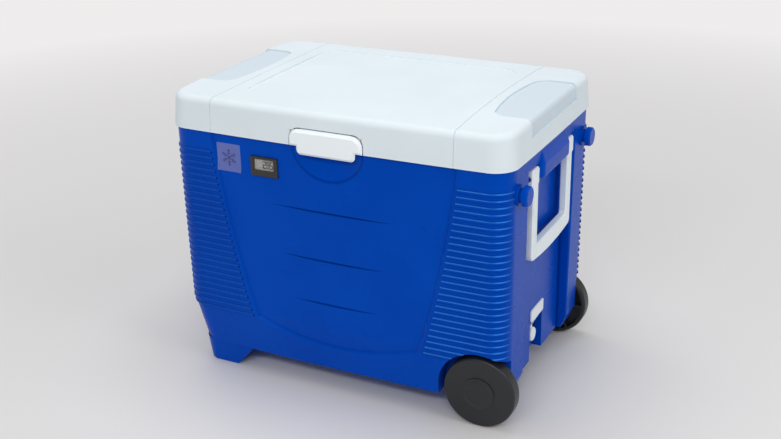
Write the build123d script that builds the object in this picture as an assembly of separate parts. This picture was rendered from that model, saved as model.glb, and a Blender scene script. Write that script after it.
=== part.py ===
"""Wheeled insulated carrier for vaccines, built piece by piece.

Millimetres, +Z up, standing on its two feet and two wheels. The long side with the latch
faces -Y and the wheels are at the +X end. All the pieces are laid out about the middle of
the tub, and save() shifts them so that the origin is under the middle of the whole carrier.
"""
import os

from build123d import *

os.makedirs("parts", exist_ok=True)

# ---- overall form ----
LENGTH = 600.0  # the lid, end to end
DEPTH = 403.0  # the lid, front to back
LID_BASE = 432.0  # lower edge of the lid above the floor
LID_RISE = 57.8  # lower edge of the lid to the crown of its top
CORNER = 38.0  # plan radius of the corners
SIDE_BOW = 4.4  # how far the long sides belly out
END_BOW = 1.7  # how far the ends belly out

# ---- clearances ----
FIT = 0.3  # between moulded pieces that nest
RUNNING = 0.05  # radial, between a shaft and its bore
LID_GAP = 1.0  # joint line between lid and tub

# ---- tub ----
TUB_INSET = 4.0  # tub wall behind the edge of the lid
TUB_DRAFT = 2.5  # how much the tub narrows from the rim to the knee, each side
KNEE = 120.0  # height where the lower walls start to lean in
LEAN_SIDE = 9.0  # lean of the long sides below the knee
LEAN_END = 16.0  # lean of the foot end below the knee
BOTTOM = 42.0  # underside of the tub
SKIN = 3.2  # thinnest wall of the tub moulding
PANEL_DEPTH = 4.0  # how far the front panel lies behind the ribbed corners

# ---- front panel and its three grooves ----
PANEL_SETBACK = 85.2  # end of the lid to the panel's edge at the rim
PANEL_MID_HALF = 188.6  # half width of the panel at PANEL_MID_Z
PANEL_MID_Z = 265.0
PANEL_LOW_HALF = 150.0  # half width at the panel's lower corners
PANEL_LOW_Z = 110.0
PANEL_SAG = 31.0  # how far its bottom edge sags below its lower corners
GROOVES = {324.0: 227.0, 240.0: 192.0, 163.0: 158.0}  # height of the upper edge: length
GROOVE_DEPTH = 4.0
GROOVE_RISE = 7.5  # height of a groove at its middle

# ---- ribs round the corners ----
RIB_COUNT = 27
RIB_PITCH = 10.9
RIB_TOP_DROP = 34.6  # rim to the highest rib
RIB_PROUD = 2.0
RIB_ROOT = 6.6  # height of a rib, measured RIB_PROUD behind the wall
RIB_CREST = 2.4  # height of its crest
RIB_PANEL_GAP = 5.0  # end of a rib to the panel's edge
RIB_BACK_HALF = 186.0  # the back ribs stop this far from the middle
RIB_COLUMN_HALF = 168.0  # the ribs stop this far from the middle on the end faces

# ---- finger bowl under the latch ----
BOWL_RADIUS = 60.0  # its rim on the panel
BOWL_DEPTH = 12.0

# ---- end recesses, with the nose between the handle's legs ----
RECESS_DEPTH = 21.0
RECESS_HALF = 107.0
RECESS_FLARE = 5.0  # widening at the mouth of a recess
RECESS_TOP_DROP = 22.0  # rim to the top of a recess
NOSE_HALF = 65.5
NOSE_REACH = 6.5  # beyond the tub's end face
NOSE_DROP = 50.0  # rim to the underside of the nose
NOSE_ROUND = 11.0
NOSE_SHOULDER = 26.0  # height of the sloping top of the nose

# ---- end handles ----
HANDLE_HALF = 90.0
HANDLE_LEG = 20.5
HANDLE_HEAD_IN = 3.0  # the head at the pivot is wider than the leg, inward
HANDLE_HEAD_OUT = 6.0  # and outward
HANDLE_HEAD_LOW = 15.0  # how far the wide head reaches below the pivot
HANDLE_HEAD_RISE = 14.0  # and above it
HANDLE_THICK = 13.0
HANDLE_BAR = 23.0  # height of the crossbar
HANDLE_SAG = 6.0  # the crossbar's lower edge, middle below corners
HANDLE_DROP = 138.5  # pivot to the lower edge at the corners
HANDLE_BACK = 5.5  # pivot axis behind the tub's end face
HANDLE_EDGE = 2.0  # bevel of its long edges
HANDLE_ROUND = 5.0
HANDLE_LINE_IN = 8.0  # inner edge of a leg to the line moulded in its face
HANDLE_LINE = 1.4
HANDLE_LINE_DEPTH = 0.8
PIVOT_DROP = 40.0  # rim to the pivot axis
PIVOT_PIN_R = 4.0
PIVOT_PIN_BITE = 16.0  # how far a pin goes into the nose

# ---- wheels and axle ----
WHEEL_R = 60.0
WHEEL_WIDTH = 26.0
WHEEL_SETBACK = 50.5  # end of the lid to the axle
WHEEL_INSIDE = 12.8  # lid edge to the wheel's outer face
WHEEL_EDGE = 5.0
WHEEL_FACE_PLATE = 6.0
WHEEL_TREAD = 7.0
WHEEL_BOSS_R = 13.0
WHEEL_SPOKES = 6
WHEEL_SPOKE = 3.0
WELL_R = 69.5
WELL_CLEAR = 3.0  # wheel's inner face to the wall of its well
AXLE_R = 5.0
AXLE_STUB = 2.5  # axle beyond its clip
CLIP_R = 10.0
CLIP_THICK = 1.5
HUB_POCKET_R = 22.0
HUB_POCKET_DEPTH = 9.0
HUB_CAP_R = 26.5
HUB_CAP_FLANGE = 1.6
HUB_CAP_DOME = 2.4  # height of its raised middle
HUB_CAP_FACE_R = 19.0
HUB_CAP_SKIRT = 4.0
HUB_CAP_WALL = 1.6
BEVEL_RISE = 27.0  # bevel under the wheel end
BEVEL_RUN = 10.5

# ---- feet ----
FOOT_LENGTH = 62.0
FOOT_WIDTH = 68.0
FOOT_SIDE_LEAN = 3.6
FOOT_END_LEAN = 6.0
FOOT_SLANT = 38.0  # run of the slanting inner side
FOOT_CORNER = 26.0
FOOT_EDGE = 4.0

# ---- cavity and liner ----
LINER = 2.5
CAVITY_INSET = 38.0  # lid edge to the cavity wall
CAVITY_CORNER = 22.0
CAVITY_FLOOR = 66.0
CAVITY_STEP = 148.0  # floor of the shelf over the wheels
STEP_SETBACK = 132.0  # end of the lid to the face of the shelf
FLANGE = 3.0

# ---- lid ----
LID_WALL = 3.0
LID_DRAFT = 4.1
LID_EDGE = 12.0
LID_CROWN = 3.5  # how much higher the top is along its middle than at its sides
TRAY_DROP = 2.8  # flat centre panel below the crown
TRAY_END = 116.0  # end of the lid to the centre panel
TRAY_SIDE = 56.0  # side of the lid to the centre panel
TRAY_ROUND = 30.0
SEAM_SETBACK = 89.0
SEAM_BOW = 5.0  # how far a seam bends towards the middle of the lid
SEAM_WIDTH = 1.3
SEAM_DEPTH = 1.2
SCOOP_RUN = 78.0  # end of the lid to the innermost point of a scoop
SCOOP_SAG = 12.0  # how much the inner edge of a scoop curves
SCOOP_HALF = 105.0
SCOOP_ROUND = 24.0
SCOOP_LIP = 28.5  # height of the lid's end wall below a scoop
SCOOP_STEP = 3.0
LINER_LIFT = 2.5  # lid edge to the underside of its liner
LID_LINER = 2.5
PLUG_DROP = 16.0  # how far the lid's liner reaches below the lid's edge
PLUG_CLEAR = 4.0
GASKET_INSET = 27.0  # lid edge to the middle of the gasket
GASKET_WIDTH = 6.0
GASKET_CLEAR = 0.3

# ---- latch ----
LATCH_HALF = 63.5
LATCH_TOP = 27.5  # its top above the lower edge of the lid
LATCH_TAB_HALF = 51.0
LATCH_TAB_HANG = 13.5
LATCH_PROUD = 4.6  # face of the latch in front of the lid's lower edge
LATCH_THICK = 5.5
LATCH_GAP = 1.5
LATCH_ROUND = 17.0
LATCH_TAB_ROUND = 8.0
LATCH_BEVEL = 4.4
LATCH_AXIS_DROP = 4.5  # its top to its pivot axis
LATCH_AXIS_IN = 2.5  # lid's lower edge to the pivot axis, inward
LATCH_PIN_R = 2.0
LATCH_PIN_SHORT = 1.6  # the pin ends this far inside the latch's edge
LATCH_BARREL_R = 4.5
LATCH_BARREL_HALF = 44.0
LATCH_POCKET = 10.5
CATCH_HALF = 14.0
CATCH_HEIGHT = 4.0
CATCH_LIFT = 4.5
KEEPER_HALF = 16.0
KEEPER_DROP = 2.0
KEEPER_HEIGHT = 6.0
KEEPER_SINK = 1.2
KEEPER_PROUD = 1.0

# ---- hinges ----
HINGE_SETBACK = 150.0  # end of the lid to the middle of a hinge
HINGE_HALF = 30.0
KNUCKLE_HALF = 11.0
KNUCKLE_R = 5.5
HINGE_PIN_R = 2.5
HINGE_OUT = 4.5  # hinge axis behind the lid's edge
HINGE_LEAF = 3.5
HINGE_LEAF_HEIGHT = 30.0
HINGE_LEAF_GAP = 3.5  # edge of a leaf to the joint line
TUB_SEAT = 7.0  # lid edge to the seat on the tub
LID_SEAT = 5.5  # lid edge to the seat on the lid
SEAT_BACKING = 5.0
HINGE_SIDE_GAP = 0.4
SCREW_R = 2.0
SCREW_HEAD_R = 4.0
SCREW_HEAD = 1.8
SCREW_BITE = 3.2
SCREW_SPREAD = 20.0

# ---- end studs ----
STUD_HALF = 149.0
STUD_DROP = 45.0
STUD_SEAT = 1.5
STUD_BASE_R = 16.5
STUD_BASE = 4.0
STUD_NECK_R = 11.0
STUD_NECK = 5.0
STUD_HEAD_R = 16.0
STUD_HEAD = 9.0
STUD_EDGE = 2.2
STUD_SHANK_R = 6.0
STUD_SHANK = 4.0

# ---- drain ----
DRAIN_Z = 78.0
NICHE_HALF = 29.0
NICHE_DEPTH = 17.0
NICHE_TOP = 113.0
DRAIN_BORE_R = 5.0
DRAIN_PIPE_R = 7.5
DRAIN_FLANGE_R = 14.0
DRAIN_FLANGE = 2.5
DRAIN_SEAL = 1.5
DRAIN_NECK_R = 9.0
DRAIN_NECK = 5.0
DRAIN_NUT_R = 11.5
DRAIN_NUT = 4.0
CAP_R = 12.0
CAP_THICK = 4.0
CAP_EDGE = 1.2
CAP_PLUG = 14.0
TETHER_THICK = 1.5
TETHER_RING_R = 9.0
TETHER_HALF = 4.0
ANCHOR_HALF = 29.0
ANCHOR_HEIGHT = 21.5
ANCHOR_THICK = 2.3
ANCHOR_ROUND = 4.0
ANCHOR_PEG_R = 3.0
ANCHOR_PEG = 2.4
ANCHOR_SPREAD = 18.0

# ---- thermometer ----
METER_X = -117.0
METER_Z = 385.0
METER_SEAT = 1.8
METER_HALF = 25.0
METER_HEIGHT = 33.0
METER_BEZEL = 4.2
METER_ROUND = 3.0
CASE_HALF = 21.5
CASE_HEIGHT = 31.0
CASE_DEPTH = 12.0
CASE_WALL = 1.6
WINDOW_HALF = 18.2
WINDOW_HEIGHT = 19.0
WINDOW_LIFT = 3.0
WINDOW_THICK = 1.5
LCD_MARGIN = 1.0
LCD_THICK = 1.6
CELL_R = 8.0
CELL_THICK = 3.2
PROBE_R = 4.0
PROBE_HEAD_R = 7.0
PROBE_HEAD = 2.5
PROBE_BITE = 8.0
PROBE_Z = 300.0

# ---- derived places ----
END = LENGTH / 2
SIDE = DEPTH / 2
RIM = LID_BASE - LID_GAP
TUB_END = END - TUB_INSET
TUB_SIDE = SIDE - TUB_INSET
PANEL_Y = TUB_SIDE - PANEL_DEPTH
WALL = PANEL_DEPTH + SKIN
FLOOR_X = TUB_END - RECESS_DEPTH
RECESS_TOP = RIM - RECESS_TOP_DROP
NOSE_X = TUB_END + NOSE_REACH
PIVOT_X = TUB_END - HANDLE_BACK
PIVOT_Z = RIM - PIVOT_DROP
AXLE_X = END - WHEEL_SETBACK
WHEEL_FACE = SIDE - WHEEL_INSIDE
WHEEL_BACK = WHEEL_FACE - WHEEL_WIDTH
WELL_WALL = WHEEL_BACK - WELL_CLEAR
HUB_FLOOR = WHEEL_FACE - HUB_POCKET_DEPTH
REACH = AXLE_X + WHEEL_R
NICHE_X = FLOOR_X - NICHE_DEPTH
STEP_X = END - STEP_SETBACK
LID_TOP = LID_BASE + LID_RISE
LINER_Z = LID_BASE + LINER_LIFT
LATCH_FACE = SIDE + LATCH_PROUD
LATCH_BACK = LATCH_FACE - LATCH_THICK
LATCH_Y = -SIDE + LATCH_AXIS_IN
LATCH_Z = LID_BASE + LATCH_TOP - LATCH_AXIS_DROP
HINGE_X = END - HINGE_SETBACK
HINGE_Y = SIDE + HINGE_OUT
HINGE_Z = LID_BASE - LID_GAP / 2
STUD_X = TUB_END - STUD_SEAT
STUD_Z = RIM - STUD_DROP
METER_Y = -PANEL_Y + METER_SEAT
WINDOW_Z = METER_Z + WINDOW_LIFT
STUD_END = STUD_X + STUD_BASE + STUD_NECK + STUD_HEAD
CENTRE_X = (max(REACH, STUD_END) - NOSE_X) / 2
CENTRE_Y = (HINGE_Y + KNUCKLE_R - LATCH_FACE) / 2


# ---- helpers ----
def block(x0, x1, y0, y1, z0, z1):
    """A box between two corners."""
    return Pos((x0 + x1) / 2, (y0 + y1) / 2, (z0 + z1) / 2) * Box(x1 - x0, y1 - y0, z1 - z0)


def rod_x(r, x0, x1, y, z):
    """A round bar along X."""
    return Pos((x0 + x1) / 2, y, z) * Rot(0, 90, 0) * Cylinder(r, x1 - x0)


def rod_y(r, y0, y1, x, z):
    """A round bar along Y."""
    return Pos(x, (y0 + y1) / 2, z) * Rot(90, 0, 0) * Cylinder(r, y1 - y0)


def both_ends(shape):
    """A shape at the wheel end and its mirror image at the foot end."""
    return shape + mirror(shape, Plane.YZ)


def both_sides(shape):
    """A shape on the front side and its mirror image on the back."""
    return shape + mirror(shape, Plane.XZ)


def plan(z, inset, draft=0.0, lean_end=0.0, lean_side=0.0):
    """The bellied plan of the carrier at one height, with round corners."""
    x0 = -END + inset + draft + lean_end
    x1 = END - inset - draft
    y1 = SIDE - inset - draft - lean_side
    xa = x0 + END_BOW
    xb = x1 - END_BOW
    yb = y1 - SIDE_BOW
    mid = (x0 + x1) / 2
    edges = [
        ThreePointArc((xa, -yb), (mid, -y1), (xb, -yb)),
        ThreePointArc((xb, -yb), (x1, 0), (xb, yb)),
        ThreePointArc((xb, yb), (mid, y1), (xa, yb)),
        ThreePointArc((xa, yb), (x0, 0), (xa, -yb)),
    ]
    face = make_face(edges)
    return Pos(0, 0, z) * fillet(face.vertices(), CORNER - inset)


def tub_plan(z, inset):
    """The tub's plan at one height: drafted above the knee, leaning in below it."""
    draft = TUB_DRAFT * min(1.0, (RIM - z) / (RIM - KNEE))
    lean = max(0.0, (KNEE - z) / (KNEE - BOTTOM))
    return plan(z, TUB_INSET + inset, draft, LEAN_END * lean, LEAN_SIDE * lean)


def tub_form(inset, low, high):
    """The tub's outer form between two heights, drawn in by an inset."""
    knee = tub_plan(KNEE, inset)
    upper = loft([knee, tub_plan(high, inset)], ruled=True)
    return upper + loft([tub_plan(low, inset), knee], ruled=True)


def lid_form(inset, low):
    """The lid's outer form above a height, drawn in by an inset, with a crowned top."""
    base = plan(low, inset, LID_DRAFT * (low - LID_BASE) / LID_RISE)
    roof = plan(LID_TOP, inset, LID_DRAFT)
    radius = (SIDE**2 + LID_CROWN**2) / (2 * LID_CROWN)
    form = loft([base, roof], ruled=True) & rod_x(radius - inset, -END, END, 0, LID_TOP - radius)
    return fillet(form.faces().sort_by(Axis.Z)[-1].edges(), LID_EDGE - inset)


def save(shape, name):
    """Write one piece, moved so that the origin is under the carrier's middle."""
    export_step(Pos(-CENTRE_X, -CENTRE_Y, 0) * shape, f"parts/{name}.step")


# ---- what bites into the tub; grow makes room for the wall behind it ----
def panel_outline(gap=0.0):
    """The front panel's outline: two curved sides and a sagging bottom edge."""
    top = END - PANEL_SETBACK + gap
    mid = PANEL_MID_HALF + gap
    low = PANEL_LOW_HALF + gap
    z = PANEL_LOW_Z - gap
    edges = [
        ThreePointArc((-low, z), (-mid, PANEL_MID_Z), (-top, RIM)),
        Polyline((-top, RIM), (-top, LID_BASE + LID_GAP), (top, LID_BASE + LID_GAP), (top, RIM)),
        ThreePointArc((top, RIM), (mid, PANEL_MID_Z), (low, z)),
        ThreePointArc((low, z), (0, z - PANEL_SAG), (-low, z)),
    ]
    return Plane.XZ * make_face(edges)


def panel_cut():
    """The recess of the front panel, with a step that slopes in from the ribbed corners."""
    sill = Pos(0, LEAN_SIDE - PANEL_Y, 0) * panel_outline(-LEAN_SIDE)
    mouth = Pos(0, -SIDE, 0) * panel_outline(TUB_INSET + PANEL_DEPTH)
    return loft([sill, mouth], ruled=True) - tub_form(PANEL_DEPTH, BOTTOM - LID_GAP, LID_BASE + LID_GAP)


def grooves():
    """The panel's three grooves: a flat roof, a sloping floor, and tapered ends."""
    cuts = []
    for top, length in GROOVES.items():
        bend = GROOVE_DEPTH / (length / 2) ** 2 - SIDE_BOW / TUB_END**2
        radius = 1 / (2 * bend)
        face = -PANEL_Y + TUB_DRAFT * (RIM - top) / (RIM - KNEE)
        disc = Cone(radius - GROOVE_RISE, radius, GROOVE_RISE)
        cuts.append(Pos(0, face + GROOVE_DEPTH - radius, top - GROOVE_RISE / 2) * disc)
    return cuts


def bowl(grow=0.0):
    """The round finger bowl under the latch."""
    radius = (BOWL_RADIUS**2 + BOWL_DEPTH**2) / (2 * BOWL_DEPTH)
    return Pos(0, -PANEL_Y + BOWL_DEPTH - radius, RIM) * Sphere(radius + grow)


def recess(grow=0.0):
    """The recess across the wheel end, open below and flared at its mouth."""
    floor = FLOOR_X - grow
    half = RECESS_HALF + grow
    inner = TUB_END - RECESS_FLARE
    mouth = TUB_END + RECESS_FLARE
    wide = half + 2 * RECESS_FLARE
    corners = [(floor, -half), (inner, -half), (mouth, -wide), (mouth, wide), (inner, half), (floor, half)]
    outline = make_face(Polyline(*corners, close=True))
    return extrude(outline, RECESS_TOP + grow)


def nose():
    """The rounded block that carries the handle's pivots, merging into the rim above."""
    low = RIM - NOSE_DROP
    corners = [(FLOOR_X - SKIN, low), (NOSE_X, low), (NOSE_X, RIM - NOSE_SHOULDER), (TUB_END - END_BOW, RIM - LID_GAP)]
    outline = make_face(Polyline(*corners, (FLOOR_X - SKIN, RIM - LID_GAP), close=True))
    outline = fillet(outline.vertices().group_by(Axis.X)[-1], NOSE_ROUND / 2)
    form = extrude(Plane.XZ * outline, NOSE_HALF, both=True)
    lower = form.edges().filter_by(Axis.X).group_by(Axis.Z)[0]
    return fillet(lower, NOSE_ROUND)


def niche(grow=0.0):
    """The niche of the drain, open below."""
    half = NICHE_HALF + grow
    return block(NICHE_X - grow, TUB_END, -half, half, 0, NICHE_TOP + grow)


def wells(grow=0.0):
    """Both wheel wells: a round arch, open below and outward."""
    half = WELL_R + grow
    wall = WELL_WALL - grow
    arch = rod_y(half, wall, SIDE, AXLE_X, WHEEL_R) + block(AXLE_X - half, AXLE_X + half, wall, SIDE, 0, WHEEL_R)
    return both_sides(arch)


def channel(grow=0.0):
    """The groove across the underside that the axle lies in."""
    half = AXLE_R + FIT + grow
    wall = WELL_WALL - SKIN + grow
    slot = block(AXLE_X - half, AXLE_X + half, -wall, wall, 0, WHEEL_R)
    return slot + rod_y(half, -wall, wall, AXLE_X, WHEEL_R)


def bevel(grow=0.0):
    """The bevel under the wheel end, so that the carrier can tip back on its wheels."""
    low = TUB_END - TUB_DRAFT - BEVEL_RUN - grow
    high = TUB_END - TUB_DRAFT - grow
    corners = [(low, 0), (low, BOTTOM), (high, BOTTOM + BEVEL_RISE), (END, BOTTOM + BEVEL_RISE), (END, 0)]
    outline = make_face(Polyline(*corners, close=True))
    return extrude(Plane.XZ * outline, SIDE, both=True)


def meter_pocket(grow=0.0):
    """The pocket in the panel for the thermometer's case."""
    x = CASE_HALF + FIT + grow
    z = CASE_HEIGHT / 2 + FIT + grow
    return block(METER_X - x, METER_X + x, -SIDE, METER_Y + CASE_DEPTH + grow, METER_Z - z, METER_Z + z)


def bites(grow=0.0):
    """Everything that bites into the tub from outside."""
    return [both_ends(recess(grow)), niche(grow), wells(grow), channel(grow), bevel(grow), bowl(grow), meter_pocket(grow)]


# ---- tub, foam and liner ----
def ribs():
    """The stack of ribs, kept at the four corners only."""
    top = RIM - RIB_TOP_DROP
    sections = []
    for i in range(RIB_COUNT):
        z = top - (RIB_COUNT - 1 - i) * RIB_PITCH
        sections.append(tub_plan(z - RIB_ROOT / 2, RIB_PROUD))
        sections.append(tub_plan(z - RIB_CREST / 2, -RIB_PROUD))
        sections.append(tub_plan(z + RIB_CREST / 2, -RIB_PROUD))
        sections.append(tub_plan(z + RIB_ROOT / 2, RIB_PROUD))
    stack = loft(sections, ruled=True)
    front = Pos(0, -SIDE, 0) * extrude(panel_outline(RIB_PANEL_GAP), -SIDE)
    back = block(-RIB_BACK_HALF, RIB_BACK_HALF, 0, SIDE, 0, RIM)
    ends = block(-END, END, -RIB_COLUMN_HALF, RIB_COLUMN_HALF, 0, RIM)
    return stack - front - back - ends


def feet():
    """The two moulded feet, narrowing downward, with a slanting inner side."""
    x0 = -TUB_END + TUB_DRAFT + LEAN_END + END_BOW
    y0 = -TUB_SIDE + TUB_DRAFT + LEAN_SIDE + SIDE_BOW
    x1 = x0 + FOOT_END_LEAN
    y1 = y0 + FOOT_SIDE_LEAN
    x2 = x1 + FOOT_LENGTH
    y2 = y1 + FOOT_WIDTH
    top = make_face(Polyline((x0, y0), (x2 + FOOT_SLANT, y0), (x2 + FOOT_SLANT, y2), (x0, y2), close=True))
    sole = make_face(Polyline((x1, y1), (x2, y1), (x2, y2), (x1, y2), close=True))
    top = fillet(top.vertices().sort_by(Axis.X)[:2].sort_by(Axis.Y)[0], FOOT_CORNER)
    sole = fillet(sole.vertices().sort_by(Axis.X)[:2].sort_by(Axis.Y)[0], FOOT_CORNER - FOOT_SIDE_LEAN)
    foot = loft([sole, Pos(0, 0, BOTTOM + SKIN / 2) * top], ruled=True)
    foot = fillet(foot.faces().sort_by(Axis.Z)[0].edges(), FOOT_EDGE)
    return both_sides(foot)


def hollow(gap=0.0, low=BOTTOM + SKIN, high=LID_BASE):
    """The room inside the tub's walls, drawn in by a gap."""
    room = tub_form(WALL + gap, low, high)
    for bite in bites(SKIN + gap):
        room -= bite
    return room


def hinge_seat(low, high, depth, backing=0.0):
    """Flat seats for the hinge leaves on the back wall, left and right."""
    half = HINGE_HALF + 2 * FIT + backing
    seat = block(HINGE_X - half, HINGE_X + half, SIDE - depth - backing, SIDE + LID_SEAT, low, high)
    return both_ends(seat)


def screws(seat, z):
    """Four hinge screws, their heads on the leaves and their shanks in the wall."""
    face = SIDE - seat + HINGE_LEAF
    screw = rod_y(SCREW_R, SIDE - seat - SCREW_BITE, face, 0, z) + rod_y(SCREW_HEAD_R, face, face + SCREW_HEAD, 0, z)
    return both_ends(Pos(HINGE_X - SCREW_SPREAD, 0, 0) * screw + Pos(HINGE_X + SCREW_SPREAD, 0, 0) * screw)


def screw_holes(seat, z):
    """The holes for those screws."""
    hole = rod_y(SCREW_R + RUNNING, SIDE - seat - SCREW_BITE - RUNNING, SIDE + LID_SEAT, 0, z)
    return both_ends(Pos(HINGE_X - SCREW_SPREAD, 0, 0) * hole + Pos(HINGE_X + SCREW_SPREAD, 0, 0) * hole)


TUB_LEAF_Z = RIM - HINGE_LEAF_GAP - HINGE_LEAF_HEIGHT / 2
LID_LEAF_Z = LID_BASE + HINGE_LEAF_GAP + HINGE_LEAF_HEIGHT / 2


def outer_tub():
    """The ribbed outer tub with its feet, noses, wells, niche and finger bowl."""
    body = tub_form(0, BOTTOM, RIM) + ribs()
    body -= panel_cut()
    for cut in grooves():
        body -= cut
    for bite in bites():
        body -= bite
    body += both_ends(nose())
    body -= hollow()
    body += feet()
    leaf_low = TUB_LEAF_Z - HINGE_LEAF_HEIGHT / 2 - 2 * FIT
    body -= hinge_seat(leaf_low, LID_BASE, TUB_SEAT)
    body -= screw_holes(TUB_SEAT, TUB_LEAF_Z)
    bore = rod_y(PIVOT_PIN_R + RUNNING, NOSE_HALF - PIVOT_PIN_BITE, NOSE_HALF + FIT, PIVOT_X, PIVOT_Z)
    body -= both_ends(both_sides(bore))
    return body


def cavity(grow=0.0):
    """The cold space: a deep part, and a raised shelf over the wheels."""
    x1 = END - CAVITY_INSET + grow
    y1 = SIDE - CAVITY_INSET + grow
    tall = block(-x1, x1, -y1, y1, CAVITY_STEP - grow, LID_BASE)
    tall = fillet(tall.edges().filter_by(Axis.Z), CAVITY_CORNER + grow)
    deep = block(-x1, STEP_X + grow, -y1, y1, CAVITY_FLOOR - grow, CAVITY_STEP)
    deep = fillet(deep.edges().filter_by(Axis.Z), CAVITY_CORNER + grow)
    return tall + deep


def through_wall(r, bite):
    """The bore of the temperature probe through the liner's front wall."""
    face = -SIDE + CAVITY_INSET
    return rod_y(r, face - bite, face, METER_X, PROBE_Z)


def insulation_core():
    """The foam between the tub and its liner."""
    foam = hollow(FIT, BOTTOM + SKIN, RIM - FLANGE) - cavity(LINER + FIT)
    foam -= through_wall(PROBE_R + FIT, LINER + PROBE_BITE + FIT)
    return foam - rod_x(DRAIN_PIPE_R + FIT, 0, END, 0, DRAIN_Z)


def inner_liner():
    """The liner of the cold space, with a flange that closes the foam off at the rim."""
    flange = loft([tub_plan(RIM - FLANGE, WALL + FIT), tub_plan(RIM, WALL + FIT)], ruled=True)
    shell = cavity(LINER) & block(-END, END, -SIDE, SIDE, 0, RIM - FLANGE)
    shell += flange - bowl(SKIN + FIT)
    shell -= cavity()
    shell -= through_wall(PROBE_R + RUNNING, LINER)
    return shell - rod_x(DRAIN_PIPE_R + RUNNING, 0, END, 0, DRAIN_Z)


# ---- lid ----
def scoop(grow=0.0):
    """The shallow scoop at the wheel end of the lid: it runs over the edge to a ledge."""
    inner = END - SCOOP_RUN - grow
    corner = inner + SCOOP_SAG
    half = SCOOP_HALF + grow
    edges = [
        ThreePointArc((corner, -half), (inner, 0), (corner, half)),
        Polyline((corner, half), (END, half), (END, -half), (corner, -half)),
    ]
    outline = make_face(edges)
    outline = fillet(outline.vertices().sort_by(Axis.X)[:2], SCOOP_ROUND)
    ledge = LID_BASE + SCOOP_LIP - grow
    return extrude(Pos(0, 0, ledge) * outline, LID_TOP - ledge) - lid_form(SCOOP_STEP + grow, LID_BASE)


def tray(grow=0.0):
    """The shallow sunk panel in the middle of the lid, with a flat floor."""
    outline = RectangleRounded(2 * (END - TRAY_END + grow), 2 * (SIDE - TRAY_SIDE + grow), TRAY_ROUND + grow)
    floor = LID_TOP - TRAY_DROP - grow
    return extrude(Pos(0, 0, floor) * outline, LID_TOP - floor)


def latch_outline(gap=0.0):
    """Front view of the latch's wide upper part, with round top corners."""
    half = LATCH_HALF + gap
    low = LID_BASE - gap
    high = LID_BASE + LATCH_TOP + gap
    face = make_face(Polyline((-half, low), (half, low), (half, high), (-half, high), close=True))
    return fillet(face.vertices().group_by(Axis.Y)[-1], LATCH_ROUND + gap)


def latch_pocket(grow=0.0):
    """The pocket in the lid that takes the upper part of the latch."""
    depth = LATCH_POCKET + LATCH_PROUD + grow
    return extrude(Pos(0, -LATCH_FACE, 0) * (Plane.XZ * latch_outline(LATCH_GAP + grow)), -depth)


def lid_bites(grow=0.0):
    """Everything that bites into the lid from outside."""
    backing = SEAT_BACKING + grow if grow else 0.0
    top = LID_LEAF_Z + HINGE_LEAF_HEIGHT / 2 + 2 * FIT + grow
    seats = hinge_seat(RIM - LID_GAP, top, LID_SEAT, backing)
    return [both_ends(scoop(grow)), tray(grow), latch_pocket(grow), seats]


def lid_room(gap, low):
    """The room inside the lid's walls above a height, drawn in at the sides by a gap."""
    room = lid_form(LID_WALL + gap, low)
    for bite in lid_bites(LID_WALL + gap):
        room -= bite
    return room


def seams():
    """The two joint grooves that run over the lid and down its long sides."""
    x0 = END - SEAM_SETBACK - SEAM_WIDTH / 2
    x1 = x0 + SEAM_WIDTH
    edges = [
        ThreePointArc((x0, -SIDE), (x0 - SEAM_BOW, 0), (x0, SIDE)),
        Line((x0, SIDE), (x1, SIDE)),
        ThreePointArc((x1, SIDE), (x1 - SEAM_BOW, 0), (x1, -SIDE)),
        Line((x1, -SIDE), (x0, -SIDE)),
    ]
    slab = extrude(Pos(0, 0, LID_BASE - LID_GAP) * make_face(edges), LID_RISE + 2 * LID_GAP)
    return both_ends(slab) - lid_form(SEAM_DEPTH, LID_BASE - 2 * LID_GAP)


def lid_shell():
    """The lid's outer shell, with its seams, scoops, centre panel and latch pocket."""
    body = lid_form(0, LID_BASE) - seams()
    for bite in lid_bites():
        body -= bite
    body -= lid_room(0, LID_BASE - LID_GAP)
    body -= screw_holes(LID_SEAT, LID_LEAF_Z)
    pin = LATCH_HALF - LATCH_PIN_SHORT + RUNNING
    return body - rod_x(LATCH_PIN_R + RUNNING, -pin, pin, LATCH_Y, LATCH_Z)


def plug(inset, low, high):
    """The part of the lid's liner that reaches down into the cold space."""
    x1 = END - CAVITY_INSET - PLUG_CLEAR - inset
    y1 = SIDE - CAVITY_INSET - PLUG_CLEAR - inset
    body = block(-x1, x1, -y1, y1, low, high)
    return fillet(body.edges().filter_by(Axis.Z), CAVITY_CORNER - PLUG_CLEAR - inset)


def lid_liner():
    """The lid's inner tray, with the plug that closes the cold space."""
    low = LID_BASE - PLUG_DROP
    high = LINER_Z + LID_LINER
    tray = lid_room(FIT, LINER_Z) & block(-END, END, -SIDE, SIDE, LINER_Z, high)
    tray += plug(0, low, high)
    return tray - plug(LID_LINER, low + LID_LINER, high)


def lid_insulation():
    """The foam between the lid's shell and its liner."""
    low = LID_BASE - PLUG_DROP + LID_LINER
    return lid_room(FIT, LINER_Z + LID_LINER) + plug(LID_LINER + FIT, low, LINER_Z + LID_LINER)


def lid_gasket():
    """The rubber ring under the lid's liner, just clear of the rim."""
    z = RIM + GASKET_CLEAR
    ring = plan(z, GASKET_INSET - GASKET_WIDTH / 2) - plan(z, GASKET_INSET + GASKET_WIDTH / 2)
    return extrude(ring, LINER_Z - z)


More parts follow.
